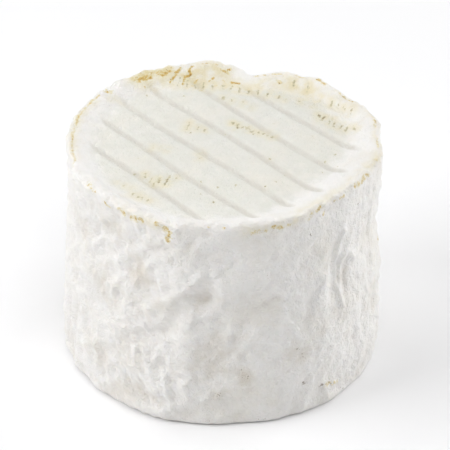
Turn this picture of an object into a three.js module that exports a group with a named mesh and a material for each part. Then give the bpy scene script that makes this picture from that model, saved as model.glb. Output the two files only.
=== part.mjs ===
// A small, tall soft cheese with a white mould rind, whole and uncut.
//
// Millimetres, +Z up, origin at the middle of the base, front towards -Y.
// It is one solid: a cylinder that has slumped a little. A rim stands up around a shallow
// dish, and the dish carries the parallel marks of the slats that the cheese ripened on.
// It was turned over as it ripened, so its base carries marks of the same kind.
// The solid is a box's grid moved onto the cheese: its square ends become the top and the
// base, with their cells lined up with the slat marks, and its sides become the wall.

import * as THREE from "three";
import { mergeVertices } from "three/addons/utils/BufferGeometryUtils.js";

// ---- driving dimensions ----
const DIAMETER = 87;
const HEIGHT = 66.8; // to the rim's crest, where it neither rises nor dips
const RADIUS = DIAMETER / 2;

const FOOT_ROUND = 2.3; // radius of the edge at the base
const LIP_ROUND = 1.6; // radius of the rim's outer edge
const DISH_DEPTH = 2.6; // from the rim's crest down to the flat of the dish
const DISH_SLOPE = 7; // plan width of the slope from the crest into the dish

const SLUMP = 1.0; // how far the lower wall swells out
const SLUMP_HEIGHT = 12; // where it swells most
const SLUMP_SPREAD = 15;
const WAIST = 0.5; // how far the wall draws in below the rim
const WAIST_HEIGHT = 52;
const WAIST_SPREAD = 8;

const MARK_TURN = -50; // direction of the slat marks, in degrees from +X
const MARK_PITCH = 10.8;
const MARK_WIDTH = 4.4; // from edge to edge of one groove
const MARK_START = { from: 1.5, to: 8 }; // distance in from the wall over which the marks start
// shift: how far the middle of one groove lies from the middle of the cheese
// sway: how far each groove winds from side to side
const TOP_MARKS = { depth: 0.5, shift: -5.7, sway: 0.4 };
const BASE_MARKS = { depth: 0.5, shift: MARK_PITCH / 2, sway: 0 };

// ---- the grid ----
const CELLS_ACROSS = 44; // across the slat marks
const CELLS_ALONG = 20; // along them
const FOOT_ROWS = 3;
const WALL_ROWS = 13;
const LIP_ROWS = 3;
const SLOPE_ROWS = 2;
const WALL_START = FOOT_ROWS;
const LIP_START = WALL_START + WALL_ROWS;
const SLOPE_START = LIP_START + LIP_ROWS;
const ROWS = SLOPE_START + SLOPE_ROWS;
const RING_WIDTH = 5; // plan width of the top's outer ring, which the box's sides make

// ---- uneven features: angles in degrees anticlockwise from +X, sizes in mm ----
// Where the rim bulges out or draws in, seen from above.
const RIM_LOBES = [
  { angle: -145, spread: 16, out: -0.5 },
  { angle: 180, spread: 24, out: -0.2 },
  { angle: 160, spread: 12, out: 0.6 },
  { angle: -108, spread: 12, out: 1.1 },
  { angle: -75, spread: 10, out: 0.6 },
  { angle: -50, spread: 10, out: -0.3 },
  { angle: -12, spread: 11, out: 1.3 },
  { angle: 18, spread: 13, out: 1.6 },
  { angle: 50, spread: 16, out: 0.6 },
  { angle: 77, spread: 8, out: -3.3 },
  { angle: 97, spread: 9, out: 1 },
  { angle: 130, spread: 20, out: 1.2 },
];
// The same at the foot of the wall.
const FOOT_LOBES = [
  { angle: -113, spread: 7, out: 0.5 },
  { angle: -85, spread: 10, out: -0.8 },
  { angle: -52, spread: 10, out: 0.4 },
  { angle: -20, spread: 14, out: 0.4 },
  { angle: 40, spread: 25, out: -0.4 },
  { angle: 180, spread: 40, out: 0.9 },
];
// Where the rim's crest rises or dips.
const CREST_LIFTS = [
  { angle: -108, spread: 8, out: 0.1 },
  { angle: -20, spread: 32, out: 1.2 },
  { angle: 57, spread: 12, out: -0.2 },
  { angle: 77, spread: 7, out: -1.4 },
  { angle: 96, spread: 9, out: 0.8 },
  { angle: 125, spread: 20, out: 0.8 },
  { angle: -170, spread: 36, out: -0.3 },
];
// Where the slope into the dish is wider.
const SLOPE_WIDENINGS = [
  { angle: -28, spread: 38, out: 5.5 },
  { angle: 100, spread: 30, out: 3 },
];
// Dents (out below 0) and swellings of the wall.
const WALL_SHAPES = [
  { angle: -98, height: 43, across: 4.5, up: 4, out: -1.5 }, // the dimple in front
  { angle: -106, height: 47, across: 4.5, up: 6, out: 0.8 },
  { angle: -87, height: 46, across: 5, up: 6, out: 0.6 },
  { angle: -71, height: 39, across: 6, up: 3, out: -0.5 },
  { angle: -44, height: 42, across: 3, up: 9, out: -1.1 }, // the long fold
  { angle: -50, height: 42, across: 3, up: 11, out: 0.5 },
  { angle: -36, height: 46, across: 5, up: 12, out: 0.5 },
  { angle: -4, height: 29, across: 7, up: 3.5, out: 1.2 }, // a blister
  { angle: -4, height: 44, across: 12, up: 5, out: -1.2 }, // the hollow above it
  { angle: -18, height: 12, across: 9, up: 8, out: 1 },
  { angle: -9, height: 52, across: 9, up: 5, out: -0.6 },
  { angle: -103, height: 20, across: 4, up: 16, out: 0.6 }, // a soft upright corner
  { angle: -130, height: 30, across: 8, up: 14, out: 0.5 },
  { angle: -140, height: 50, across: 6, up: 6, out: -0.5 },
  { angle: -120, height: 15, across: 8, up: 6, out: 0.5 },
  { angle: -60, height: 20, across: 12, up: 9, out: 0.4 },
  { angle: 30, height: 30, across: 8, up: 10, out: -0.7 },
  { angle: 75, height: 24, across: 7, up: 12, out: 0.6 },
  { angle: 102, height: 44, across: 6, up: 6, out: -0.9 },
  { angle: 140, height: 28, across: 9, up: 8, out: 0.6 },
  { angle: 165, height: 45, across: 6, up: 9, out: -0.6 },
];

// ---- small helpers ----
const { lerp: mix, smoothstep: fade, degToRad: radians, radToDeg: degrees } = THREE.MathUtils;
const bell = (distance, spread) => Math.exp(-((distance / spread) ** 2));

// The shorter way round from one angle to another, in degrees.
const turnBetween = (from, to) => THREE.MathUtils.euclideanModulo(to - from + 180, 360) - 180;

// What a list of { angle, spread, out } adds up to at one angle.
function around(list, angle) {
  return list.reduce((sum, item) => {
    return sum + item.out * bell(turnBetween(item.angle, angle), item.spread);
  }, 0);
}

// ---- the form ----
// Height of the rim's crest.
const crest = (angle) => HEIGHT + around(CREST_LIFTS, angle);

// How far the dents and swellings move the wall at one place.
function wallShape(angle, z) {
  return WALL_SHAPES.reduce((sum, item) => {
    const sideways = radians(turnBetween(item.angle, angle)) * RADIUS;
    return sum + item.out * bell(sideways, item.across) * bell(z - item.height, item.up);
  }, 0);
}

// The wall's distance from the axis.
function wall(angle, z) {
  const slump = SLUMP * bell(z - SLUMP_HEIGHT, SLUMP_SPREAD);
  const waist = WAIST * bell(z - WAIST_HEIGHT, WAIST_SPREAD);
  const lobes = mix(around(FOOT_LOBES, angle), around(RIM_LOBES, angle), fade(z, 0, HEIGHT));
  return RADIUS + slump - waist + lobes + wallShape(angle, z);
}

// How deep a set of slat marks is at one place.
function slatMark({ depth, shift, sway }, x, y) {
  const turn = radians(MARK_TURN);
  const along = x * Math.cos(turn) + y * Math.sin(turn);
  const across = y * Math.cos(turn) - x * Math.sin(turn);
  const index = Math.round((across - shift) / MARK_PITCH);
  const middle = shift + index * MARK_PITCH + sway * Math.sin(along / 13 + 2 * index);
  const share = Math.abs(across - middle) / (MARK_WIDTH / 2);
  return share < 1 ? depth * Math.cos((share * Math.PI) / 2) ** 2 : 0;
}

// The point at one angle and distance from the axis, with its height.
const atAngle = (angle, radius, z) => {
  return new THREE.Vector3(radius * Math.cos(radians(angle)), radius * Math.sin(radians(angle)), z);
};

// A point of the top, at a distance in from the wall.
function topPoint(angle, inset) {
  const slope = DISH_SLOPE + around(SLOPE_WIDENINGS, angle);
  const height = mix(crest(angle), HEIGHT - DISH_DEPTH, fade(inset, LIP_ROUND, LIP_ROUND + slope));
  const point = atAngle(angle, wall(angle, crest(angle)) - inset, height);
  point.z -= slatMark(TOP_MARKS, point.x, point.y) * fade(inset, MARK_START.from, MARK_START.to);
  return point;
}

// A point of the base, at a distance in from the wall.
function basePoint(angle, inset) {
  const point = atAngle(angle, wall(angle, 0) - inset, 0);
  point.z = slatMark(BASE_MARKS, point.x, point.y) * fade(inset, MARK_START.from, MARK_START.to);
  return point;
}

// A point of the box's sides: up the rounded foot and the wall, over the lip and into the dish.
function sidePoint(angle, row) {
  const quarter = Math.PI / 2;
  const lip = crest(angle) - LIP_ROUND;
  if (row <= WALL_START) {
    const turn = (quarter * row) / FOOT_ROWS;
    const z = FOOT_ROUND * (1 - Math.cos(turn));
    return atAngle(angle, wall(angle, z) - FOOT_ROUND * (1 - Math.sin(turn)), z);
  }
  if (row <= LIP_START) {
    const z = mix(FOOT_ROUND, lip, (row - WALL_START) / WALL_ROWS);
    return atAngle(angle, wall(angle, z), z);
  }
  if (row <= SLOPE_START) {
    const turn = (quarter * (row - LIP_START)) / LIP_ROWS;
    const z = lip + LIP_ROUND * Math.sin(turn);
    return atAngle(angle, wall(angle, z) - LIP_ROUND * (1 - Math.cos(turn)), z);
  }
  return topPoint(angle, mix(LIP_ROUND, RING_WIDTH, (row - SLOPE_START) / SLOPE_ROWS));
}

// Where a vertex of the box, which is 2 across each way, lies on the cheese.
function place({ x: a, y: b, z: c }) {
  const p = a * Math.sqrt(1 - (b * b) / 2); // the square turned into a disc of radius 1
  const q = b * Math.sqrt(1 - (a * a) / 2);
  const angle = degrees(Math.atan2(q, p)) + MARK_TURN + 90;
  const row = Math.round(((c + 1) / 2) * ROWS);
  const inside = Math.max(Math.abs(a), Math.abs(b)) < 1 - 1e-6;
  const share = 1 - Math.hypot(p, q); // 0 at the edge of the disc, 1 at its middle
  if (inside && row === 0) return basePoint(angle, mix(FOOT_ROUND, wall(angle, 0), share));
  if (inside) return topPoint(angle, mix(RING_WIDTH, wall(angle, crest(angle)), share));
  return sidePoint(angle, row);
}

function cheeseGeometry() {
  const box = new THREE.BoxGeometry(2, 2, 2, CELLS_ACROSS, CELLS_ALONG, ROWS);
  box.deleteAttribute("normal");
  box.deleteAttribute("uv");
  const geometry = mergeVertices(box);
  const position = geometry.getAttribute("position");
  for (let i = 0; i < position.count; i++) {
    const point = place(new THREE.Vector3().fromBufferAttribute(position, i));
    position.setXYZ(i, point.x, point.y, point.z);
  }
  geometry.computeBoundingBox();
  const middle = geometry.boundingBox.getCenter(new THREE.Vector3());
  geometry.translate(-middle.x, -middle.y, 0);
  geometry.computeVertexNormals();
  return geometry;
}

const rind = new THREE.MeshStandardMaterial({ color: 0xeceae4, roughness: 0.85, metalness: 0 });

const cheese = new THREE.Mesh(cheeseGeometry(), rind);
cheese.name = "cheese";

const part = new THREE.Group();
part.add(cheese);

export default part;
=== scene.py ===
# A small, tall soft cheese with a white mould rind, whole, on a plain pale floor.
#
# The cheese is one mesh, worked out in numpy from the same named shapes as the packed
# solid, and then given the finer relief of its rind. What the material needs to know
# about a place (slat mark, worn rim, ochre dash) is carried on the mesh as attributes.
# Lengths are in millimetres until a mesh or a light is made, angles in degrees
# anticlockwise from +X, and the front faces -Y.

import math

import bpy
import numpy as np
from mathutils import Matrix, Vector


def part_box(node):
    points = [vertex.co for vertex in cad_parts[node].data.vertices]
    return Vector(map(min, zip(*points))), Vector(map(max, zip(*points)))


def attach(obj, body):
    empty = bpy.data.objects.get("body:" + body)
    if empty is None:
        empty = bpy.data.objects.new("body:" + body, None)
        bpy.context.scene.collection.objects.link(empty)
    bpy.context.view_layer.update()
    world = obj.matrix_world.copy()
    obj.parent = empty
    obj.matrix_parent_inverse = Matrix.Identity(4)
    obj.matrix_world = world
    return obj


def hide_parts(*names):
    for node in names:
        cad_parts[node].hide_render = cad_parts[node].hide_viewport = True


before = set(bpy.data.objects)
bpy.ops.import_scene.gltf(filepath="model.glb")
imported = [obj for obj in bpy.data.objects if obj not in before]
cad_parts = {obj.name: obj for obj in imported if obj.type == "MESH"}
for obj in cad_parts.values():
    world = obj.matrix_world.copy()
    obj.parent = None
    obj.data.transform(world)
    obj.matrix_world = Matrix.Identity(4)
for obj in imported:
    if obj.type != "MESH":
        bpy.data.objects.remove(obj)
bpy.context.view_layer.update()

MM = 0.001

# ---- the form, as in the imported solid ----
DIAMETER = 87.0
HEIGHT = 66.8  # to the rim's crest, where it neither rises nor dips
RADIUS = DIAMETER / 2

FOOT_ROUND = 2.3  # radius of the edge at the base
LIP_ROUND = 1.6  # radius of the rim's outer edge
DISH_DEPTH = 2.6  # from the rim's crest down to the flat of the dish
DISH_SLOPE = 7.0  # plan width of the slope from the crest into the dish

SLUMP, SLUMP_HEIGHT, SLUMP_SPREAD = 1.0, 12.0, 15.0  # the lower wall's swelling
WAIST, WAIST_HEIGHT, WAIST_SPREAD = 0.5, 52.0, 8.0  # the wall's drawing in below the rim

MARK_TURN = -50.0  # direction of the slat marks
MARK_PITCH = 10.8
MARK_WIDTH = 4.4  # from edge to edge of one groove
MARK_START = (1.5, 8.0)  # distance in from the wall over which the marks start
SWAY_LENGTH = 13.0  # length of a mark in which its winding turns by a radian
SWAY_SHIFT = 2  # radians by which each mark's winding is ahead of the last one's
# shift: how far the middle mark is from the axis; sway: how far each mark winds from side to side
TOP_MARKS = {"depth": 0.5, "shift": -5.7, "sway": 0.4}
BASE_MARKS = {"depth": 0.5, "shift": MARK_PITCH / 2, "sway": 0.0}

# (angle, spread, out): where the rim bulges out or draws in, seen from above
RIM_LOBES = [
    (-145, 16, -0.5),
    (180, 24, -0.2),
    (160, 12, 0.6),
    (-108, 12, 1.1),
    (-75, 10, 0.6),
    (-50, 10, -0.3),
    (-12, 11, 1.3),
    (18, 13, 1.6),
    (50, 16, 0.6),
    (77, 8, -3.3),
    (97, 9, 1.0),
    (130, 20, 1.2),
]
# The same at the foot of the wall.
FOOT_LOBES = [
    (-113, 7, 0.5),
    (-85, 10, -0.8),
    (-52, 10, 0.4),
    (-20, 14, 0.4),
    (40, 25, -0.4),
    (180, 40, 0.9),
]
# Where the rim's crest rises or dips.
CREST_LIFTS = [
    (-108, 8, 0.1),
    (-20, 32, 1.2),
    (57, 12, -0.2),
    (77, 7, -1.4),
    (96, 9, 0.8),
    (125, 20, 0.8),
    (-170, 36, -0.3),
]
# Where the slope into the dish is wider.
SLOPE_WIDENINGS = [(-28, 38, 5.5), (100, 30, 3.0)]
# (angle, height, across, up, out): dents and swellings of the wall
WALL_SHAPES = [
    (-98, 43, 4.5, 4, -1.5),
    (-106, 47, 4.5, 6, 0.8),
    (-87, 46, 5, 6, 0.6),
    (-71, 39, 6, 3, -0.5),
    (-44, 42, 3, 9, -1.1),
    (-50, 42, 3, 11, 0.5),
    (-36, 46, 5, 12, 0.5),
    (-4, 29, 7, 3.5, 1.2),
    (-4, 44, 12, 5, -1.2),
    (-18, 12, 9, 8, 1),
    (-9, 52, 9, 5, -0.6),
    (-103, 20, 4, 16, 0.6),
    (-130, 30, 8, 14, 0.5),
    (-140, 50, 6, 6, -0.5),
    (-120, 15, 8, 6, 0.5),
    (-60, 20, 12, 9, 0.4),
    (30, 30, 8, 10, -0.7),
    (75, 24, 7, 12, 0.6),
    (102, 44, 6, 6, -0.9),
    (140, 28, 9, 8, 0.6),
    (165, 45, 6, 9, -0.6),
]

# ---- finer relief of the wall ----
# (route of (angle, height) points, half width, out)
WALL_STROKES = [
    ([(-116.5, 37.4), (-108.5, 42), (-102.8, 46.6), (-97.9, 50.7)], 1.7, 1.1),
    ([(-105.7, 53), (-103, 49), (-100.9, 46)], 0.9, 0.4),  # ridges round the dimple
    ([(-93, 38.7), (-90, 42.8), (-89.6, 47.7), (-93, 51)], 1.9, 0.8),
    ([(-97.4, 42.5), (-95.6, 42.9)], 2.2, -0.7),
    ([(-101, 38), (-96, 37)], 1.3, 0.35),
    ([(-77, 41), (-74, 43.4), (-70, 44), (-66, 42)], 0.9, 0.5),  # a brow
    ([(-74.6, 40.4), (-70.9, 41.6)], 1.1, -0.45),
    ([(-67.1, 35.1), (-62.3, 28.5), (-58.2, 25.2)], 0.9, 0.3),
    ([(-55.3, 35.4), (-53.9, 29.4)], 0.8, 0.35),
    ([(-40.5, 55.2), (-43, 51), (-44.6, 46), (-44.5, 40.6), (-42.5, 35.5), (-40.9, 30.5)], 0.8, 0.95),
    ([(-37.5, 50), (-41, 46.1), (-42, 42.5), (-41.4, 37.5)], 0.7, 0.6),
    ([(-39.4, 44.5), (-39.8, 40), (-39, 35)], 1.0, -0.5),  # the long fold, inside its two ridges
    ([(-31.7, 48.5), (-28, 51), (-25.8, 54)], 0.7, 0.4),
    ([(-36.6, 50.5), (-33, 54), (-29.5, 60)], 0.7, 0.4),
    ([(-37.3, 47.6), (-35.6, 45), (-34.3, 42.5)], 0.6, 0.35),
    ([(-29.5, 40.4), (-25.5, 33), (-24.6, 29), (-27, 24)], 1.1, 0.3),
    ([(-34, 30), (-31, 22), (-31, 14)], 1.2, 0.3),
    ([(-40, 58), (-46, 53), (-52, 49)], 0.9, 0.3),
    ([(-50, 44), (-53, 38), (-52, 31)], 1.3, 0.3),
    ([(-19, 60), (-22, 53), (-21, 46)], 0.7, -0.35),
    ([(-13, 58), (-9, 49), (-7, 43)], 0.8, 0.4),
    ([(-8, 35), (-2, 34), (2, 30), (-1, 26), (-8, 24)], 0.7, -0.5),  # round the blister
    ([(-134.9, 42.8), (-131.8, 40.6), (-132.9, 36.9), (-132.5, 32.6), (-129.9, 30.2)], 0.7, 0.5),
    ([(-131.8, 40.5), (-126.2, 46)], 0.7, 0.45),  # the network of ridges at the left
    ([(-141.1, 24.2), (-132.4, 27.6), (-127.3, 28.1)], 0.7, 0.5),
    ([(-122.1, 35.8), (-119.2, 32.7), (-117.7, 29.2)], 0.7, 0.6),
    ([(-126.8, 36.1), (-122.1, 38.7)], 0.7, 0.45),
    ([(-123.5, 25.4), (-121.9, 23), (-116.8, 22.8)], 0.7, 0.5),
    ([(-133.9, 21.3), (-131.1, 18.4), (-132, 14)], 0.7, 0.45),
    ([(-116.2, 28), (-113.4, 23.6), (-114.5, 20)], 0.7, 0.45),
    ([(-119.5, 20.4), (-111.4, 23)], 0.6, 0.4),
    ([(-111.3, 18), (-108.9, 9.1), (-107.8, 4.3)], 0.8, 0.6),
    ([(-106.3, 18.4), (-100.1, 18.3)], 0.6, 0.35),
    ([(-105.6, 15.5), (-98.9, 15.3)], 0.6, 0.35),
    ([(-102.6, 11.1), (-99, 9.6), (-95.3, 10), (-94.3, 12.4)], 0.45, 0.5),  # a flake by the foot
    ([(-118.1, 11.8), (-113.9, 10.5), (-112, 13)], 0.6, 0.45),
    ([(-103.5, 34), (-104, 24), (-103.5, 12)], 2.2, 0.35),  # a blunt upright edge
    ([(20, 50), (26, 42), (24, 33), (29, 24)], 0.9, 0.5),  # the sides out of sight
    ([(58, 20), (64, 27), (62, 36)], 0.9, 0.45),
    ([(88, 50), (96, 46), (105, 47)], 1.0, 0.5),
    ([(120, 34), (127, 30), (132, 22)], 0.9, -0.5),
    ([(150, 54), (156, 46), (154, 38)], 0.9, 0.45),
    ([(172, 30), (178, 26), (-176, 27)], 0.9, 0.45),
]
# (angle, height, across, up, strength): where the wall looks browner, mostly where its mould is thin;
# the spots in the dimple and in the long fold are painted shade in those hollows
WALL_STAINS_AND_SHADE = [
    (-93, 23, 9, 10, 0.6),
    # painted shade in the dimple's hollow
    (-97.4, 42, 3, 2.6, 0.6),
    (-120.9, 46, 4.5, 5, 1.0),
    (-132, 57, 7, 4, 0.55),
    (-124, 7, 9, 5, 0.5),
    (-82, 17.5, 3, 3, 1.0),
    (-91.6, 11.5, 2.5, 2, 0.9),
    (-62, 22, 7, 5, 0.5),
    # painted shade inside the long fold
    (-40, 40, 1.8, 5, 0.6),
    (-128, 22, 4, 4, 0.4),
    (-140, 38, 4, 6, 0.5),
    (-152, 50, 4, 5, 0.45),
    (-138, 13, 6, 5, 0.45),
    (-121, 34, 3, 3, 0.5),
    (-20, 24, 5, 8, 0.3),
    (35, 22, 9, 7, 0.6),
    (95, 36, 8, 9, 0.6),
    (150, 18, 9, 6, 0.6),
]
# (angle, height, spread, strength): brown specks of the wall
WALL_SPECKS = [
    (-82, 17.5, 1.8, 1.0),
    (-83, 20, 1.3, 0.9),
    (-91.6, 11.8, 1.6, 1.0),
    (-62.5, 23.7, 0.6, 1.7),
    (-59.7, 11.4, 0.8, 1.6),
    (-52, 8.4, 0.7, 1.8),
    (-47, 7, 1.5, 0.9),
    (-40.4, 2.4, 1.5, 0.9),
    (-74.4, 50, 1.6, 0.8),
    (-56.4, 58.8, 0.5, 1.8),
    (-31, 60, 0.5, 1.8),
    (-65.5, 30.4, 1.4, 0.8),
    (-60.9, 21.4, 1.2, 0.8),
    (-95, 2.4, 1.5, 0.9),
    (-75, 1.6, 1.6, 0.8),
    (-17, 10, 1.0, 1.2),
    (20, 24, 1.5, 1.0),
    (74, 32, 1.5, 1.0),
    (110, 12, 2.0, 0.9),
    (165, 48, 1.5, 1.0),
]

# (angle, height, across, up, strength): where the wall has no wrinkles but its named folds
WALL_CALM = [
    (-94, 45, 9, 9, 0.85),
    (-42, 43, 5, 10, 0.8),
    (-72, 42, 7, 4, 0.7),
]

# Each kind of relief has its strength in mm, and a cell: the size in mm of its bumps.
LEFT_MIDDLE, LEFT_SPREAD = -142, 36  # angle and spread of the left side, which is more crumpled
BROAD_LUMPS, BROAD_CELL = 0.48, 13
SMALL_LUMPS, SMALL_LUMPS_LEFT, SMALL_CELL = 0.28, 0.22, 6
WRINKLES, WRINKLES_IN_PATCHES, WRINKLES_LEFT, WRINKLE_CELL = 0.27, 0.28, 0.04, 7.5
WRINKLE_PATCHES, WRINKLE_PATCH_CELL = 0.6, 19  # where the wall is more wrinkled than elsewhere
WRINKLE_PATCH_EDGE = (0.0, 0.8)  # from the start of such a patch to where it is full
WRINKLE_SLANT = (0.6, 0.35, 0.7)  # the way that the wrinkles are drawn out
WRINKLE_DRAW, WRINKLE_DRAW_LEFT = 0.45, 0.35  # how far they are, and how much less at the left
WALL_GRAIN, WALL_GRAIN_LEFT, WALL_GRAIN_CELL = 0.26, 0.08, 2.4
STROKE_WANDER, STROKE_WANDER_CELL = 0.35, 2.5  # how the named folds stray from their routes
FOOT_START = (-1.0, 3.0)  # heights over which all this starts, so the base lies flat
HOLLOW_FULL = 0.6  # depth of a wrinkle that gets the full painted shade of a hollow

TOP_LUMPS, TOP_LUMP_CELL = 0.12, 8
TOP_GRAIN, TOP_GRAIN_CELL = 0.05, 2.4
DASH_DEPTH = 0.15
RIM_LUMPS, RIM_LUMP_CELL = 0.26, 4.2
RIM_GRAIN, RIM_GRAIN_CELL = 0.16, 1.6
RIM_WEAR_DEPTH = 0.35  # how far the rim is eaten away where it is worn
RIM_WEAR_EDGE = (0.4, 0.9)  # wear over which that grows
THICK_FADE = (0.5, 1.25)  # where the rim's thick mould thins, in widths of the slope

# Distances in from the rim's crest, below 0 outside it:
RIM_SPREAD = 3.2  # the rim's own relief fades over this, either way
TOP_START = (-0.5, 3.5)  # the wall's relief turns into the top's between these
TOP_EDGE = -0.8  # no dash or halo further out than this
BASE_RIM = -2 * HEIGHT  # stands for every point of the base, far from the rim

# How a wrinkled skin's ridges are made from noise.
WARP_CELL, WARP = 1.7, 0.6  # the warp's cell and reach, in cells of the ridges
BROAD_RIDGES, NARROW_RIDGES, RIDGE_LEVEL = 1.8, 0.6, 1.4
GRADIENTS = 2048  # directions that the noise picks from
NOISE_GAIN = 1.7
HASH_FACTORS = (73856093, 19349663, 83492791)

# ---- worn and ochre places ----
# A route over the rim holds (angle, distance in from the rim's crest) points.
GOLDEN_BAND = [(127, 1.2), (120, 1.4), (116, 1.4), (111, 1.0)]
# (route, half width, strength): where the rim is worn
RIM_WEAR = [
    (GOLDEN_BAND, 1.4, 0.9),
    ([(126, 2.1), (121, 2.5)], 0.6, 1.3),
    ([(116, 2.8), (112, 1.6)], 0.7, 1.2),
    ([(114, 5.3), (111, 3.8), (109, 2.4), (107, 1.0)], 0.5, 1.3),
    ([(109, 7.0), (107, 4.9)], 0.45, 1.15),
    ([(107, 4.4), (104, 4.1), (104, 2.6), (102, 1.3)], 0.5, 1.3),
    ([(106, 8.2), (104, 7.8)], 0.4, 1.0),
    ([(103, 6.8), (101, 5.9)], 0.45, 1.05),
    ([(102, 10.6), (100, 9.7)], 0.4, 0.85),
    ([(96, 7.1), (94, 5.9)], 0.45, 1.1),
    ([(94, 8.8), (93, 8.4)], 0.5, 1.0),
    ([(98, 0.8), (92, 1.2)], 0.4, 1.0),
    ([(91, 3.0), (89, 3.2), (87, 1.8)], 0.45, 1.2),
    ([(89, 3.2), (87.5, 3.6)], 0.4, 1.1),
    ([(90, 6.3), (89.6, 6.3)], 0.35, 1.0),
    ([(86, 6.2), (82, 4.6)], 0.5, 1.25),
    ([(141.5, 0.6), (140.5, 1.0)], 1.1, 1.05),  # a round spot, with a smear inside it
    ([(126, 4.7), (125.6, 4.7)], 0.3, 1.3),
    ([(128, 2.4), (126, 2.9)], 0.5, 1.0),
    ([(-167, 0.0), (180, -0.2), (168, 0.0), (155, -0.2), (146, 0.0)], 0.6, 0.85),
    ([(-166, -0.7), (-164, -2.6)], 0.8, 0.7),
    ([(-150, -0.8), (-144, -1.8)], 0.9, 0.7),
    ([(-137, -2.8), (-135.5, -3.0)], 0.8, 0.9),
    ([(-130, -2.4), (-127, -2.9)], 0.8, 0.9),
    ([(-124.5, -3.0), (-119.5, -2.6)], 0.9, 0.95),
    ([(-113.4, -2.2), (-112.6, -2.2)], 0.7, 0.85),
    ([(-110.2, -3.0), (-108.5, -4.2), (-109, -6.5)], 0.85, 1.0),
    ([(-95.4, -1.2), (-94.6, -1.2)], 0.5, 0.8),
    ([(-90, -1.6), (-89.4, -1.6)], 0.5, 0.8),
    ([(-80, -3.0), (-75, -3.3)], 0.8, 0.85),
    ([(-72, -2.6), (-69, -3.2)], 0.7, 1.05),
    ([(-66.4, -3.2), (-65.4, -3.2)], 0.7, 0.95),
    ([(-58, -3.4), (-56, -2.2)], 0.8, 0.8),
    ([(-54, -2.3), (-51.6, -1.2)], 0.6, 1.15),
    ([(-51, -4.6), (-50, -3.6)], 0.35, 1.1),
    ([(-45, -2.2), (-40, -2.2)], 0.7, 0.72),
    ([(-34, -1.8), (-29, -2.0)], 0.8, 0.95),
    ([(-28, -1.6), (-25, -1.6)], 0.8, 0.9),
    ([(-21, -0.8), (-15, -0.8)], 0.9, 0.6),
    ([(-6, -0.4), (0, -0.4)], 0.6, 0.9),
    ([(8, -0.4), (16, -0.4)], 0.5, 0.85),
    ([(30, -0.1), (38, 0.0)], 0.5, 0.95),
    ([(46, 0.0), (50, 0.0)], 0.6, 1.05),
    ([(56, 0.1), (60, 0.1)], 0.5, 1.0),
    ([(66, 0.2), (70, 0.4), (76, 0.2)], 0.6, 0.95),
    ([(66, 3.0), (64, 4.2)], 0.6, 0.95),
]
# (route, half width, strength): where the rim is yellowish, worn or not
RIM_TINGE = [
    (GOLDEN_BAND, 1.5, 1.7),
    ([(126, 2.0), (116, 3.0), (108, 4.0), (98, 3.4), (90, 3.0)], 2.8, 1.0),
    ([(100, 6.0), (88, 7.0), (72, 4.0)], 2.6, 0.6),
    ([(66, 3.5), (55, 4.0), (42, 5.0)], 2.8, 0.7),
    ([(143, 2.6), (141, 4.8)], 1.4, 0.6),
    ([(-60, 0.2), (-40, 0.4), (-20, 0.4)], 1.6, 0.4),
    ([(-22, -0.6), (-12, -0.8), (-4, -1.6)], 1.2, 0.6),
    ([(-128, -2.2), (-112, -2.4)], 1.2, 0.5),
    ([(-82, -2.4), (-66, -2.8), (-52, -1.6)], 1.2, 0.45),
    ([(-168, 0.0), (170, 0.0), (150, 0.2)], 1.2, 0.6),
    ([(-4, 0.0), (20, 0.0), (40, 0.2)], 0.9, 0.4),
]
# (route of (angle, height) points, half width, strength): worn places of the wall
WALL_WEAR = [
    ([(-6, 37), (-2, 35), (-1, 31), (-4, 28)], 0.7, 1.0),
    ([(-50, 8), (-44, 6.5)], 1.0, 0.8),
    ([(-9, 12), (-8.4, 12)], 0.6, 0.9),
    ([(-43.8, 54.2), (-43.2, 52.8)], 0.8, 0.4),
    ([(70, 30), (73, 31)], 0.9, 0.6),
    ([(108, 12), (114, 13)], 1.2, 0.55),
    ([(150, 50), (151, 48)], 0.8, 0.62),
]
ROUTE_SOFTNESS = 1.25  # how far the look of a route fades, in half widths

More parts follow.
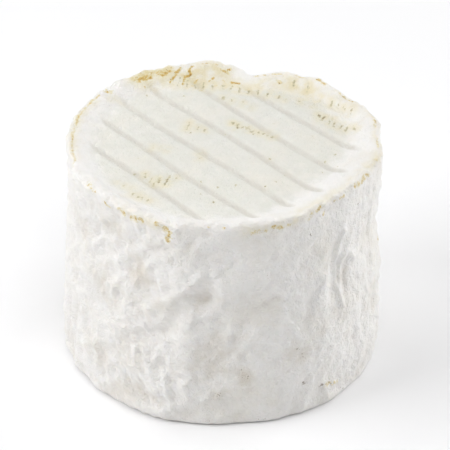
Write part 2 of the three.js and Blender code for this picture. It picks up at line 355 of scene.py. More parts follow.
# Rows of dashes pressed into the top: (first x and y, last x and y, count, length, width, strength)
DASH_ROWS = [
    ((3.0, 13.2), (4.2, 11.8), 2, 2.2, 0.6, 0.95),
    ((5.6, 11.2), (7.8, 10.0), 3, 2.0, 0.6, 0.8),
    ((8.8, 9.1), (13.8, 6.4), 5, 1.5, 0.55, 0.85),
    ((27.1, 17.7), (28.2, 16.0), 3, 2.2, 0.55, 0.9),
    ((30.1, 13.9), (30.8, 15.4), 2, 2.0, 0.55, 0.8),
    ((31.7, 12.8), (36.9, 8.6), 4, 2.4, 0.55, 0.8),
    ((-21.2, -14.2), (-18.8, -18.4), 3, 1.6, 0.55, 0.8),
    ((-17.4, -16.6), (-17.4, -16.6), 1, 3.0, 0.6, 0.9),
    ((-15.1, -16.8), (-15.1, -16.8), 1, 4.4, 0.55, 0.95),
    ((-12.4, -14.8), (-12.4, -14.8), 1, 1.6, 0.5, 0.8),
    ((-9.8, 11.8), (-9.8, 11.8), 1, 4.4, 0.35, 0.7),
    ((-6.9, 11.1), (-5.0, 9.6), 2, 2.0, 0.5, 0.7),
    ((-12.6, 34.6), (-3.0, 33.4), 5, 2.6, 0.45, 0.8),
    ((0.2, 33.4), (7.4, 31.0), 4, 2.2, 0.5, 0.7),
    ((0.2, 27.4), (8.4, 22.4), 4, 1.8, 0.45, 0.55),
    ((10.0, 30.6), (16.0, 28.0), 3, 2.0, 0.55, 0.8),
    ((20.6, 33.6), (24.4, 30.8), 2, 2.2, 0.5, 0.9),
    ((18.0, 26.5), (26.0, 23.5), 3, 1.6, 0.5, 0.55),
    ((31.0, 22.5), (36.4, 17.6), 4, 1.8, 0.45, 0.7),
    ((-24.2, -24.0), (-20.2, -26.8), 4, 1.5, 0.5, 0.65),
    ((-29.0, -18.0), (-25.0, -21.0), 3, 1.2, 0.45, 0.5),
    ((-19.0, 0.6), (-16.0, -1.0), 3, 1.4, 0.4, 0.45),
    ((-6.4, -2.6), (-6.0, -5.0), 2, 1.6, 0.4, 0.6),
]
DASH_DIRECTION, DASH_TILT = 82.0, 9  # the way that dashes point, and how much they vary
DASH_JITTER = 0.15  # how far a dash strays from its row
DASH_SIZES = (0.8, 1.25)  # shares of the row's length
DASH_LEVELS = (0.8, 1.1)  # shares of the row's strength
DASH_SOFTNESS = 0.75  # how far a dash fades, in widths
HALO_REACH = 1.9  # how far from a dash its yellow halo fades
DASH_DOTS = 34  # further small dots, strewn over the top
DOT_AREA = 0.88  # share of the radius that they are strewn over
DOT_LEVELS = (0.35, 1.0)
DOT_LENGTHS = (0.5, 1.1)
DOT_WIDTH = 0.5
DOT_TILT = 25
DOT_HALO = 0.15  # how much of a dash's halo a dot has

# ---- the mesh's grid ----
TOP_CELLS = 150  # each way across the top, lined up with the slat marks
RING_WIDTH = 5.0  # plan width of the top's outer ring, which belongs to the sides' grid
RING_ROWS = 5
LIP_ROWS = 5
WALL_ROWS = 88
FOOT_ROWS = 4
BASE_ROWS = 18

# The UV map, in shares of its side: the wall in two strips one above the other, with the
# top's and the base's discs over them.
UV_MARGIN = 0.01
UV_STRIP_HEIGHT, UV_STRIP_STEP = 0.25, 0.27
UV_TOP, UV_BASE = (0.24, 0.77), (0.74, 0.77)
UV_DISC, UV_DISC_ROOM = 0.45, 1.1  # each disc's room, and that room in widths of the cheese

SEED = 20

# ---- colours, as they look in plain daylight: red, green and blue of 255 ----
THICK_MOULD = (249, 247, 244)
THIN_MOULD = (231, 230, 222)
WARM_MOULD = (238, 233, 222)
# painted shade: the darker colour mixed into the wall's wrinkle hollows
HOLLOW_SHADE = (228, 223, 217)
# browner stains of the wall, also used as painted shade in the dimple and the long fold
STAIN_AND_SHADE = (216, 207, 192)
MARK_TINT = (217, 213, 204)
PALE_OCHRE = (228, 215, 168)
GOLD = (208, 172, 84)
UMBER = (172, 122, 52)
BROWN = (128, 104, 66)
DASH_OCHRE = (196, 188, 152)
FLOOR_WHITE = (244, 244, 245)

# ---- the studio ----
FLOOR_SIZE = 12.0  # metres
GLOW_REACH = (0.12, 1.2)  # metres from the cheese's axis over which the floor's glow grows
FLOOR_GLOW = (0.035, 0.93)  # its strength near the cheese and far out
SURROUND = (0.93, 0.93, 0.93, 1.0)  # the pale room that a low camera sees behind the floor
SURROUND_LIGHT = 0.09  # how much of that room's light falls on the cheese
CAMERA_PLACE = (0.7, -669.4, 476.5)
CAMERA_TARGET = (0.7, 0.0, 38.5)
CAMERA_LENS = 225.9
CAMERA_REACH = 50.0  # metres

# name: (angle round the cheese, elevation, distance, size, watts)
LIGHTS = {
    "key": (-165, 35, 1400, 900, 12.2),
    "side_fill": (24, 13, 1400, 1100, 16.0),
    "front_fill": (-60, 60, 1400, 800, 6.6),
    "back_fill": (135, 52, 1400, 800, 4.4),
    "overhead": (0, 90, 1400, 700, 2.0),
}


# ---- small helpers ----
def bell(distance, spread):
    """1 at no distance, falling away smoothly over the spread."""
    return np.exp(-((distance / spread) ** 2))


def fade(value, start, end):
    """A smooth step from 0 at the start to 1 at the end."""
    share = np.clip((value - start) / (end - start), 0, 1)
    return share * share * (3 - 2 * share)


def turn_between(start, end):
    """The shorter way round from one angle to another."""
    return (end - start + 180) % 360 - 180


def around(bumps, angle):
    """What a list of (angle, spread, out) adds up to at each angle."""
    return sum(out * bell(turn_between(at, angle), spread) for at, spread, out in bumps)


def noise(points, cell, seed):
    """Smooth gradient noise, mostly from -1 to 1, with bumps about one cell across."""
    scaled = points / cell
    corner = np.floor(scaled).astype(np.int64)
    inside = scaled - corner
    blend = inside**3 * (inside * (inside * 6 - 15) + 10)
    gradients = np.random.default_rng(seed).normal(size=(GRADIENTS, 3))
    gradients /= np.linalg.norm(gradients, axis=1, keepdims=True)
    total = np.zeros(len(points))
    for offset in np.ndindex(2, 2, 2):
        x, y, z = ((corner + offset) * HASH_FACTORS).T
        picked = gradients[(x ^ y ^ z) % GRADIENTS]
        weight = np.prod(np.where(offset, blend, 1 - blend), axis=1)
        total += weight * np.einsum("ij,ij->i", picked, inside - offset)
    return total * NOISE_GAIN


def two_layer_noise(points, cell, seed):
    """Noise with a layer half as large and half as strong added."""
    return noise(points, cell, seed) + noise(points, cell / 2, seed + 1) / 2


def shares(count):
    """A number of equal steps up to 1."""
    return np.arange(1, count + 1) / count


# ---- the form ----
def crest(angle):
    """Height of the rim's crest."""
    return HEIGHT + around(CREST_LIFTS, angle)


def wall(angle, z):
    """The wall's distance from the axis."""
    slump = SLUMP * bell(z - SLUMP_HEIGHT, SLUMP_SPREAD)
    waist = WAIST * bell(z - WAIST_HEIGHT, WAIST_SPREAD)
    share = fade(z, 0, HEIGHT)
    lobes = around(FOOT_LOBES, angle) * (1 - share) + around(RIM_LOBES, angle) * share
    radius = RADIUS + slump - waist + lobes
    for at, height, across, up, out in WALL_SHAPES:
        sideways = np.radians(turn_between(at, angle)) * RADIUS
        radius = radius + out * bell(sideways, across) * bell(z - height, up)
    return radius


def slat_mark(marks, x, y):
    """How deep a set of slat marks is at each place."""
    turn = math.radians(MARK_TURN)
    along = x * math.cos(turn) + y * math.sin(turn)
    across = y * math.cos(turn) - x * math.sin(turn)
    index = np.round((across - marks["shift"]) / MARK_PITCH)
    sway = marks["sway"] * np.sin(along / SWAY_LENGTH + SWAY_SHIFT * index)
    middle = marks["shift"] + index * MARK_PITCH + sway
    share = np.abs(across - middle) / (MARK_WIDTH / 2)
    return marks["depth"] * np.cos(np.minimum(share, 1) * math.pi / 2) ** 2


def on_circle(angle, radius):
    """x and y at an angle and a distance from the axis."""
    return radius * np.cos(np.radians(angle)), radius * np.sin(np.radians(angle))


def rows_of(*values):
    """Numbers and arrays stacked as rows of one length."""
    return np.array(np.broadcast_arrays(*values))


def top_row(angle, inset):
    """Points of the top, at a distance in from the wall."""
    radius = wall(angle, crest(angle)) - inset
    x, y = on_circle(angle, radius)
    slope = DISH_SLOPE + around(SLOPE_WIDENINGS, angle)
    into_dish = fade(inset, LIP_ROUND, LIP_ROUND + slope)
    z = crest(angle) * (1 - into_dish) + (HEIGHT - DISH_DEPTH) * into_dish
    z = z - slat_mark(TOP_MARKS, x, y) * fade(inset, *MARK_START)
    return rows_of(x, y, z, angle, inset - LIP_ROUND)


def outer_row(angle, inset, z, rim):
    """Points of the lip, the wall or the rounded foot."""
    x, y = on_circle(angle, wall(angle, z) - inset)
    return rows_of(x, y, z, angle, rim)


def base_row(angle, inset):
    """Points of the base, at a distance in from the wall."""
    x, y = on_circle(angle, wall(angle, 0) - inset)
    z = slat_mark(BASE_MARKS, x, y) * fade(inset, *MARK_START)
    return rows_of(x, y, z, angle, BASE_RIM)


def side_rows(angle):
    """The rows of the sides, from the top's outer ring down and in to near the base's middle.
    Each holds x, y, z, angle and distance in from the rim's crest, which is below 0 outside it."""
    quarter = math.pi / 2
    lip = crest(angle) - LIP_ROUND
    lip_arc = LIP_ROUND * quarter
    rows = []
    for share in shares(RING_ROWS):
        rows.append(top_row(angle, RING_WIDTH + (LIP_ROUND - RING_WIDTH) * share))
    for share in shares(LIP_ROWS):
        turn = quarter * share
        z = lip + LIP_ROUND * math.cos(turn)
        rows.append(outer_row(angle, LIP_ROUND * (1 - math.sin(turn)), z, -lip_arc * share))
    for share in shares(WALL_ROWS):
        z = lip + (FOOT_ROUND - lip) * share
        rows.append(outer_row(angle, 0, z, z - lip - lip_arc))
    for share in shares(FOOT_ROWS):
        turn = quarter * share
        z = FOOT_ROUND * (1 - math.sin(turn))
        rows.append(outer_row(angle, FOOT_ROUND * (1 - math.cos(turn)), z, z - lip - lip_arc))
    for share in shares(BASE_ROWS)[:-1]:
        rows.append(base_row(angle, FOOT_ROUND + (wall(angle, 0) - FOOT_ROUND) * share))
    return rows


def top_grid():
    """Points of the top inside its outer ring, on a square grid moved onto a disc."""
    steps = np.linspace(-1, 1, TOP_CELLS + 1)
    a, b = (grid.ravel() for grid in np.meshgrid(steps, steps, indexing="ij"))
    p = a * np.sqrt(1 - b * b / 2)
    q = b * np.sqrt(1 - a * a / 2)
    angle = np.degrees(np.arctan2(q, p)) + MARK_TURN + 90
    edge = wall(angle, crest(angle))
    return top_row(angle, edge + (RING_WIDTH - edge) * np.hypot(p, q))


class Skin:
    """Every vertex of the cheese, and the faces between them."""

    def __init__(self):
        side = TOP_CELLS + 1
        index = np.arange(side * side).reshape(side, side)
        loop = np.concatenate([index[:-1, 0], index[-1, :-1], index[:0:-1, -1], index[0, :0:-1]])
        top = top_grid()
        loop_angle = np.degrees(np.unwrap(np.radians(top[3, loop])))
        rows = side_rows(loop_angle)
        middle = np.array([[0, 0, 0, 0, BASE_RIM]]).T
        columns = np.concatenate([top, *rows, middle], axis=1)
        self.x, self.y, self.z, self.angle, self.rim = columns
        row_starts = side * side + np.arange(len(rows)) * len(loop)
        self.row_index = np.vstack([loop, row_starts[:, None] + np.arange(len(loop))])
        corners = [index[:-1, :-1], index[1:, :-1], index[1:, 1:], index[:-1, 1:]]
        self.top_quads = np.stack(corners, -1).reshape(-1, 4)
        upper, lower = self.row_index[:-1], self.row_index[1:]
        nexts = np.roll(np.arange(len(loop)), -1)
        self.side_quads = np.stack([upper, lower, lower[:, nexts], upper[:, nexts]], -1).reshape(-1, 4)
        last = self.row_index[-1]
        self.fan = np.stack([last, np.full_like(last, len(self.x) - 1), last[nexts]], -1)
        self.loop_angle = loop_angle

    @property
    def points(self):
        return np.stack([self.x, self.y, self.z], -1)


# ---- finer relief and worn places ----
def route_distance(angle, height, route):
    """Distance along the surface to a route of (angle, height) points."""
    nearest = np.full(angle.shape, np.inf)
    for (start_angle, start_height), (end_angle, end_height) in zip(route, route[1:]):
        u = np.radians(turn_between(start_angle, angle)) * RADIUS
        v = height - start_height
        du = math.radians(turn_between(start_angle, end_angle)) * RADIUS
        dv = end_height - start_height
        share = np.clip((u * du + v * dv) / (du * du + dv * dv), 0, 1)
        nearest = np.minimum(nearest, np.hypot(u - share * du, v - share * dv))
    return nearest


def dashes():
    """Every dash of the top: middle x and y, length, width, strength, direction and halo."""
    rng = np.random.default_rng(SEED)
    made = []
    for (x0, y0), (x1, y1), count, length, width, strength in DASH_ROWS:
        for share in np.linspace(0, 1, count):
            x = x0 + (x1 - x0) * share + rng.normal(0, DASH_JITTER)
            y = y0 + (y1 - y0) * share + rng.normal(0, DASH_JITTER)
            size = length * rng.uniform(*DASH_SIZES)
            level = strength * rng.uniform(*DASH_LEVELS)
            direction = DASH_DIRECTION + rng.normal(0, DASH_TILT)
            made.append((x, y, size, width, level, direction, level))
    for _ in range(DASH_DOTS):
        radius = RADIUS * DOT_AREA * math.sqrt(rng.random())
        x, y = on_circle(rng.uniform(0, 360), radius)
        level = rng.uniform(*DOT_LEVELS)
        size = rng.uniform(*DOT_LENGTHS)
        direction = DASH_DIRECTION + rng.normal(0, DOT_TILT)
        made.append((x, y, size, DOT_WIDTH, level, direction, level * DOT_HALO))
    return made


def dash_fields(skin):
    """How strongly each vertex lies in a dash, and in the yellow halo round it."""
    pressed = np.zeros(skin.x.shape)
    halo = np.zeros(skin.x.shape)
    for x, y, length, width, level, direction, tinge in dashes():
        turn = math.radians(direction)
        along = (skin.x - x) * math.cos(turn) + (skin.y - y) * math.sin(turn)
        across = (skin.y - y) * math.cos(turn) - (skin.x - x) * math.sin(turn)
        past_end = np.maximum(np.abs(along) - (length - width) / 2, 0)
        distance = np.hypot(past_end, across)
        pressed = np.maximum(pressed, level * bell(distance, width * DASH_SOFTNESS))
        halo = np.maximum(halo, tinge * bell(distance, HALO_REACH))
    on_top = skin.rim > TOP_EDGE
    return pressed * on_top, halo * on_top


def near_routes(angle, height, routes):
    """The strongest of a list of (route, half width, strength) at each vertex."""
    field = np.zeros(angle.shape)
    for route, width, strength in routes:
        distance = route_distance(angle, height, route)
        field = np.maximum(field, strength * bell(distance, width * ROUTE_SOFTNESS))
    return field


def wear_field(skin):
    """How worn the rind is; 1 is worn right through the mould."""
    on_wall = near_routes(skin.angle, skin.z, WALL_WEAR) * (skin.rim < 0)
    return np.maximum(near_routes(skin.angle, skin.rim, RIM_WEAR), on_wall)


def wall_spots(skin, spots):
    """The strongest of a list of (angle, height, ..., strength) spots at each vertex of the wall."""
    field = np.zeros(skin.x.shape)
    for angle, height, *spreads, strength in spots:
        sideways = np.radians(turn_between(angle, skin.angle)) * RADIUS
        spot = bell(sideways, spreads[0]) * bell(skin.z - height, spreads[-1])
        field = np.maximum(field, strength * spot)
    return field * (skin.rim < 0)


def crumple(points, cell, seed):
    """Ridges like those of a wrinkled skin, from about -1 to 1."""
    warp = np.stack([noise(points, cell * WARP_CELL, seed + i) for i in range(3)], -1)
    warped = points + warp * cell * WARP
    broad = (1 - np.abs(noise(warped, cell, seed + 5))) ** 2
    narrow = (1 - np.abs(noise(warped, cell / 2, seed + 6))) ** 3
    return BROAD_RIDGES * broad + NARROW_RIDGES * narrow - RIDGE_LEVEL


def wall_relief(skin):
    """The wall's lumps, and its wrinkles with the named folds, both in mm outwards."""
    points = skin.points
    left = bell(turn_between(LEFT_MIDDLE, skin.angle), LEFT_SPREAD)
    small = (SMALL_LUMPS + SMALL_LUMPS_LEFT * left) * two_layer_noise(points, SMALL_CELL, SEED + 3)
    lumps = BROAD_LUMPS * noise(points, BROAD_CELL, SEED + 1) + small
    patches = WRINKLE_PATCHES * noise(points, WRINKLE_PATCH_CELL, SEED + 11) + left
    wrinkled = fade(patches, *WRINKLE_PATCH_EDGE)
    slant = np.array(WRINKLE_SLANT) / np.linalg.norm(WRINKLE_SLANT)
    draw = WRINKLE_DRAW - WRINKLE_DRAW_LEFT * left[:, None]
    drawn_out = points - draw * (points @ slant)[:, None] * slant
    strength = WRINKLES + WRINKLES_IN_PATCHES * wrinkled + WRINKLES_LEFT * left
    wrinkles = strength * crumple(drawn_out, WRINKLE_CELL, SEED + 13)
    wrinkles *= 1 - wall_spots(skin, WALL_CALM)
    grain = WALL_GRAIN + WALL_GRAIN_LEFT * left
    wrinkles += grain * two_layer_noise(points, WALL_GRAIN_CELL, SEED + 7)
    wander = STROKE_WANDER * noise(points, STROKE_WANDER_CELL, SEED + 30)
    for route, width, out in WALL_STROKES:
        wrinkles += out * bell(route_distance(skin.angle, skin.z, route) + wander, width)
    return lumps, wrinkles


def top_relief(skin, pressed):
    """Lumps and pressed dashes of the top, in mm outwards."""
    lumps = TOP_LUMPS * noise(skin.points, TOP_LUMP_CELL, SEED + 41)
    lumps = lumps + TOP_GRAIN * two_layer_noise(skin.points, TOP_GRAIN_CELL, SEED + 42)
    return lumps - DASH_DEPTH * pressed


def rim_relief(skin):
    """The rim's ragged edge, in mm outwards."""
    lumps = RIM_LUMPS * two_layer_noise(skin.points, RIM_LUMP_CELL, SEED + 51)
    return lumps + RIM_GRAIN * noise(skin.points, RIM_GRAIN_CELL, SEED + 53)


def shape_attributes(skin):
    """How far the relief moves each vertex, and what the material is told about it."""
    pressed, halo = dash_fields(skin)
    worn = wear_field(skin)
    inside = fade(skin.rim, *TOP_START)
    at_rim = bell(skin.rim, RIM_SPREAD)
    above_foot = fade(skin.z, *FOOT_START)
    lumps, wrinkles = wall_relief(skin)
    relief = (lumps + wrinkles) * (1 - inside) * above_foot
    relief += top_relief(skin, pressed) * inside
    relief += rim_relief(skin) * at_rim - RIM_WEAR_DEPTH * fade(worn, *RIM_WEAR_EDGE) * at_rim
    slope = DISH_SLOPE + around(SLOPE_WIDENINGS, skin.angle)
    mark = slat_mark(TOP_MARKS, skin.x, skin.y) / TOP_MARKS["depth"]
    return relief, {
        "mark": mark * fade(skin.rim, *MARK_START),
        "thick": 1 - fade(skin.rim / slope, *THICK_FADE),
        "worn": worn,
        "tinge": near_routes(skin.angle, skin.rim, RIM_TINGE),
        "pressed": pressed,
        "halo": halo,
        # painted shade: how far each vertex lies down in a wrinkle's hollow, which the material darkens
        "hollow_shade": np.clip(-wrinkles / HOLLOW_FULL, -1, 1) * (1 - inside),
        "stain_and_shade": wall_spots(skin, WALL_STAINS_AND_SHADE),
        "specks": wall_spots(skin, WALL_SPECKS),
    }


# ---- the mesh ----
def bake_layout(skin):
    """One UV place for each corner of each face: two strips of wall, and two discs."""
    half = skin.row_index.shape[1] // 2
    start = skin.loop_angle[0]
    rows = skin.row_index.shape[0] - BASE_ROWS + 1
    disc = np.stack([skin.x, skin.y], -1) * UV_DISC / (UV_DISC_ROOM * DIAMETER)

    top = disc[skin.top_quads] + UV_TOP
    row, column = np.divmod(np.arange(len(skin.side_quads)), 2 * half)
    turn = np.append(skin.loop_angle, start + 360)
    strip = column // half
    corner_rows = np.stack([row, row + 1, row + 1, row], -1)
    corner_columns = np.stack([column, column, column + 1, column + 1], -1)
    share = (turn[corner_columns] - start - 180 * strip[:, None]) / 180
    u = share * (1 - 2 * UV_MARGIN) + UV_MARGIN
    v = (1 - corner_rows / rows) * UV_STRIP_HEIGHT + UV_MARGIN + UV_STRIP_STEP * strip[:, None]
    sides = np.stack([u, v], -1)
    low = row >= rows - 1
    sides[low] = disc[skin.side_quads[low]] + UV_BASE
    fan = disc[skin.fan] + UV_BASE
    return np.concatenate([top.reshape(-1, 2), sides.reshape(-1, 2), fan.reshape(-1, 2)])


def plain_mesh(skin):
    """The smooth form, before its finer relief."""
    mesh = bpy.data.meshes.new("cheese_rind")
    quads = np.concatenate([skin.top_quads, skin.side_quads])
    corners = np.concatenate([quads.ravel(), skin.fan.ravel()])
    sizes = np.concatenate([np.full(len(quads), 4), np.full(len(skin.fan), 3)])
    mesh.vertices.add(len(skin.x))
    mesh.vertices.foreach_set("co", (skin.points * MM).ravel())
    mesh.loops.add(len(corners))
    mesh.loops.foreach_set("vertex_index", corners)
    mesh.polygons.add(len(sizes))
    mesh.polygons.foreach_set("loop_start", np.cumsum(sizes) - sizes)
    mesh.update(calc_edges=True)
    return mesh


def moved_points(skin, mesh, relief):
    """The vertices moved out by the relief, none below the floor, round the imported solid's middle."""
    normals = np.empty(len(skin.x) * 3, np.float32)
    mesh.vertex_normals.foreach_get("vector", normals)
    points = skin.points + normals.reshape(-1, 3) * relief[:, None]
    points[:, 2] = np.maximum(points[:, 2], 0)
    low, high = (np.array(corner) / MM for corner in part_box("cheese"))
    points[:, :2] += (low + high)[:2] / 2 - (skin.points.min(0) + skin.points.max(0))[:2] / 2
    return points


def make_cheese():
    """The cheese as one mesh, with its attributes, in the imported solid's place."""
    skin = Skin()
    mesh = plain_mesh(skin)
    relief, attributes = shape_attributes(skin)
    mesh.vertices.foreach_set("co", (moved_points(skin, mesh, relief) * MM).ravel())
    for name, values in attributes.items():
        mesh.attributes.new(name, "FLOAT", "POINT").data.foreach_set("value", values)
    mesh.uv_layers.new(name="OFBake").data.foreach_set("uv", bake_layout(skin).ravel())
    mesh.polygons.foreach_set("use_smooth", np.ones(len(mesh.polygons), bool))
    mesh.update()
    mesh.validate()
    piece = bpy.data.objects.new("cheese_rind", mesh)
    bpy.context.scene.collection.objects.link(piece)
    return piece


# ---- materials ----
def linear(colour):
    """A colour of 255 turned into the render's own scale."""
    share = np.array(colour) / 255
    return (*np.where(share <= 0.04045, share / 12.92, ((share + 0.055) / 1.055) ** 2.4), 1.0)


class Nodes:
    """Short ways to add shader nodes to one material."""

    def __init__(self, name):
        self.material = bpy.data.materials.new(name)
        self.material.use_nodes = True
        self.tree = self.material.node_tree
        self.shader = self.tree.nodes["Principled BSDF"]
        self.place = self.add("ShaderNodeTexCoord").outputs["Object"]

    def add(self, kind, inputs=(), **settings):
        node = self.tree.nodes.new(kind)
        for key, value in settings.items():
            setattr(node, key, value)
        for key, value in dict(inputs).items():
            self.put(node.inputs[key], value)
        return node

    def put(self, socket, value):
        """Links an output to a socket, or sets the socket to a plain value."""
        if isinstance(value, bpy.types.NodeSocket):
            self.tree.links.new(value, socket)
        else:
            socket.default_value = value

    def attribute(self, name):
        return self.add("ShaderNodeAttribute", attribute_name=name).outputs["Fac"]

    def cloud(self, size, detail, stretch=(1, 1, 1)):
        """Noise from 0 to 1 with bumps of a size in mm."""
        scale = self.add("ShaderNodeVectorMath", {0: self.place, 1: stretch}, operation="MULTIPLY")
        inputs = {
            "Vector": scale.outputs[0],
            "Scale": 1 / (size * MM),
            "Detail": detail,
            "Roughness": 0.55,
        }
        return self.add("ShaderNodeTexNoise", inputs).outputs["Fac"]

    def math(self, operation, first, second):
        return self.add("ShaderNodeMath", {0: first, 1: second}, operation=operation).outputs[0]

    def ramp(self, value, start, end, low=0.0, high=1.0):
        """A smooth step from low to high as the value goes from start to end."""
        inputs = {"Value": value, "From Min": start, "From Max": end, "To Min": low, "To Max": high}
        return self.add("ShaderNodeMapRange", inputs, interpolation_type="SMOOTHSTEP").outputs[0]

    def mix(self, share, first, second):
        node = self.add("ShaderNodeMix", data_type="RGBA")
        self.put(node.inputs[0], share)
        self.put(node.inputs[6], first)
        self.put(node.inputs[7], second)
        return node.outputs[2]


def mould_colour(n, mottle, grain):
    """The mould: thinner in the dish, with painted shade in the wall's wrinkle hollows, and greyer in
    the slat marks.
    """
    patchy = n.math("ADD", n.attribute("thick"), n.ramp(mottle, 0.3, 0.7, -0.25, 0.25))
    colour = n.mix(n.ramp(patchy, -0.2, 1.1), linear(THIN_MOULD), linear(THICK_MOULD))
    colour = n.mix(n.ramp(n.cloud(12, 3), 0.42, 0.75, 0.0, 0.5), colour, linear(WARM_MOULD))
    # painted shade: the wall's wrinkle hollows are mixed towards a darker colour
    hollow_shade = n.math("ADD", n.attribute("hollow_shade"), n.ramp(grain, 0.3, 0.7, -0.2, 0.2))
    colour = n.mix(n.ramp(hollow_shade, -0.1, 1.2, 0.0, 0.35), colour, linear(HOLLOW_SHADE))
    # browner stains of the wall, and painted shade in the dimple and in the long fold
    stain_and_shade = n.math("ADD", n.attribute("stain_and_shade"), n.ramp(mottle, 0.3, 0.7, -0.2, 0.2))
    colour = n.mix(n.ramp(stain_and_shade, 0.0, 1.2, 0.0, 0.6), colour, linear(STAIN_AND_SHADE))
    marked = n.ramp(n.attribute("mark"), 0.2, 1.0, 0.0, 0.9)
    marked = n.math("MULTIPLY", marked, n.ramp(mottle, 0.25, 0.65, 0.45, 1.0))
    return n.mix(marked, colour, linear(MARK_TINT))


def with_ochre(n, colour, mottle, grain, fuzz):
    """The halos and yellowish places, then the worn places from pale ochre to umber."""
    halo = n.math("MULTIPLY", n.attribute("halo"), n.ramp(mottle, 0.25, 0.6, 0.1, 0.55))
    colour = n.mix(halo, colour, linear(PALE_OCHRE))
    tinged = n.math("MULTIPLY", n.attribute("tinge"), n.ramp(mottle, 0.3, 0.65, 0.25, 0.75))
    colour = n.mix(tinged, colour, linear(PALE_OCHRE))
    ragged = n.math("ADD", n.math("MULTIPLY", grain, 1.6), n.math("MULTIPLY", fuzz, 0.9))
    worn = n.math("ADD", n.attribute("worn"), n.math("SUBTRACT", ragged, 1.3))
    colour = n.mix(n.ramp(worn, 0.45, 0.85, 0.0, 0.8), colour, linear(PALE_OCHRE))
    colour = n.mix(n.ramp(worn, 0.78, 1.1, 0.0, 0.9), colour, linear(GOLD))
    colour = n.mix(n.ramp(worn, 1.15, 1.45, 0.0, 0.75), colour, linear(UMBER))
    dark = n.math("MULTIPLY", n.ramp(worn, 0.6, 0.9), n.ramp(n.cloud(0.9, 1), 0.62, 0.74))
    return n.mix(n.math("MULTIPLY", dark, 0.6), colour, linear(BROWN))


def with_specks_and_dashes(n, colour, grain):
    """Brown specks, and the dashes pressed into the top."""
    speckled = n.math("MULTIPLY", n.attribute("specks"), 0.3)
    speckled = n.ramp(n.math("ADD", n.cloud(0.6, 1), speckled), 0.8, 0.9, 0.0, 0.6)
    colour = n.mix(speckled, colour, linear(BROWN))
    pressed = n.math("ADD", n.attribute("pressed"), n.ramp(grain, 0.3, 0.7, -0.35, 0.35))
    colour = n.mix(n.ramp(pressed, 0.3, 0.7, 0.0, 0.8), colour, linear(DASH_OCHRE))
    return n.mix(n.ramp(pressed, 0.7, 1.1, 0.0, 0.6), colour, linear(BROWN))


def downy_bump(n, grain, fuzz):
    """The mould's fine grain, fuzz and short upright fibres."""
    height = n.math("ADD", n.math("MULTIPLY", grain, 0.9), n.math("MULTIPLY", fuzz, 0.6))
    fibres = n.cloud(2.4, 2, (0.5, 0.5, 3.0))
    height = n.math("ADD", height, n.math("MULTIPLY", fibres, 0.5))
    bump = n.add("ShaderNodeBump", {"Strength": 1.0, "Distance": 0.6 * MM, "Height": height})
    return bump.outputs[0]


def rind_material():
    """White mould, thinner in the dish and greyer in the slat marks, ochre where it is worn."""
    n = Nodes("rind")
    mottle = n.cloud(3.0, 3)
    grain = n.cloud(1.0, 3)
    fuzz = n.cloud(0.4, 2)
    colour = mould_colour(n, mottle, grain)
    colour = with_ochre(n, colour, mottle, grain, fuzz)
    colour = with_specks_and_dashes(n, colour, grain)
    n.put(n.shader.inputs["Base Color"], colour)
    n.put(n.shader.inputs["Roughness"], n.ramp(mottle, 0.2, 0.8, 0.72, 0.92))
    n.put(n.shader.inputs["Normal"], downy_bump(n, grain, fuzz))
    n.shader.inputs["Specular IOR Level"].default_value = 0.3
    n.shader.inputs["Sheen Weight"].default_value = 0.15
    n.shader.inputs["Sheen Roughness"].default_value = 0.6
    n.shader.inputs["Subsurface Weight"].default_value = 0.1
    n.shader.inputs["Subsurface Radius"].default_value = (1.0, 0.8, 0.55)
    n.shader.inputs["Subsurface Scale"].default_value = 1.2 * MM
    return n.material


def floor_material():
    """Matt white round the cheese, giving way further out to an even pale glow."""
    n = Nodes("floor_white")
    length = n.add("ShaderNodeVectorMath", {0: n.place}, operation="LENGTH").outputs["Value"]
    colour = n.mix(n.ramp(length, *GLOW_REACH), linear(FLOOR_WHITE), linear((0, 0, 0)))
    n.put(n.shader.inputs["Base Color"], colour)
    n.shader.inputs["Roughness"].default_value = 0.9
    n.shader.inputs["Specular IOR Level"].default_value = 0.1
    n.shader.inputs["Emission Color"].default_value = (1, 1, 1, 1)
    n.put(n.shader.inputs["Emission Strength"], n.ramp(length, *GLOW_REACH, *FLOOR_GLOW))
    return n.material


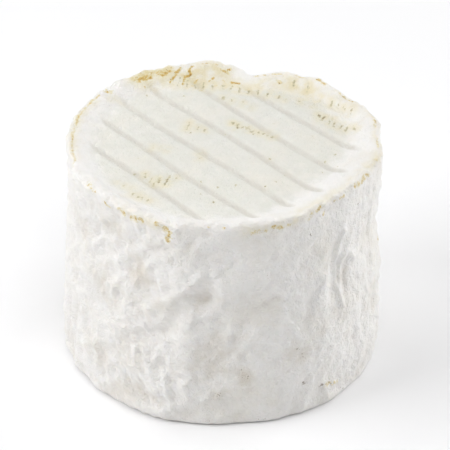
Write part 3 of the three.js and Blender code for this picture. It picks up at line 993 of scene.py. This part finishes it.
# ---- the scene ----
def aim(thing, place, target):
    """Puts a light or camera at a place in mm and turns it towards a target."""
    thing.location = Vector(place) * MM
    thing.rotation_euler = (Vector(target) - Vector(place)).to_track_quat("-Z", "Y").to_euler()


def make_floor():
    half = FLOOR_SIZE / 2
    corners = [(-half, -half, 0), (half, -half, 0), (half, half, 0), (-half, half, 0)]
    mesh = bpy.data.meshes.new("floor")
    mesh.from_pydata(corners, [], [(0, 1, 2, 3)])
    mesh.materials.append(floor_material())
    floor = bpy.data.objects.new("floor", mesh)
    bpy.context.scene.collection.objects.link(floor)


def make_lights():
    for name, (angle, elevation, distance, size, watts) in LIGHTS.items():
        light = bpy.data.lights.new(name, "AREA")
        light.size = size * MM
        light.energy = watts
        lamp = bpy.data.objects.new(name, light)
        x, y = on_circle(angle, distance * math.cos(math.radians(elevation)))
        z = distance * math.sin(math.radians(elevation))
        aim(lamp, (x, y, z), (0, 0, HEIGHT / 2))
        bpy.context.scene.collection.objects.link(lamp)


def make_world():
    """A room that the camera sees as pale, and that lights the cheese only faintly."""
    world = bpy.data.worlds.new("studio")
    world.use_nodes = True
    tree = world.node_tree
    background = tree.nodes["Background"]
    background.inputs["Color"].default_value = SURROUND
    seen = tree.nodes.new("ShaderNodeLightPath").outputs["Is Camera Ray"]
    strength = tree.nodes.new("ShaderNodeMapRange")
    strength.inputs["To Min"].default_value = SURROUND_LIGHT
    tree.links.new(seen, strength.inputs["Value"])
    tree.links.new(strength.outputs[0], background.inputs["Strength"])
    bpy.context.scene.world = world


def make_camera():
    camera = bpy.data.cameras.new("camera")
    camera.lens = CAMERA_LENS
    camera.clip_end = CAMERA_REACH
    holder = bpy.data.objects.new("camera", camera)
    aim(holder, CAMERA_PLACE, CAMERA_TARGET)
    bpy.context.scene.collection.objects.link(holder)
    bpy.context.scene.camera = holder


bpy.context.scene.view_settings.view_transform = "Standard"
make_camera()
make_lights()
make_world()
make_floor()

cheese = make_cheese()
cheese.data.materials.append(rind_material())
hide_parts("cheese")
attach(cheese, "root")
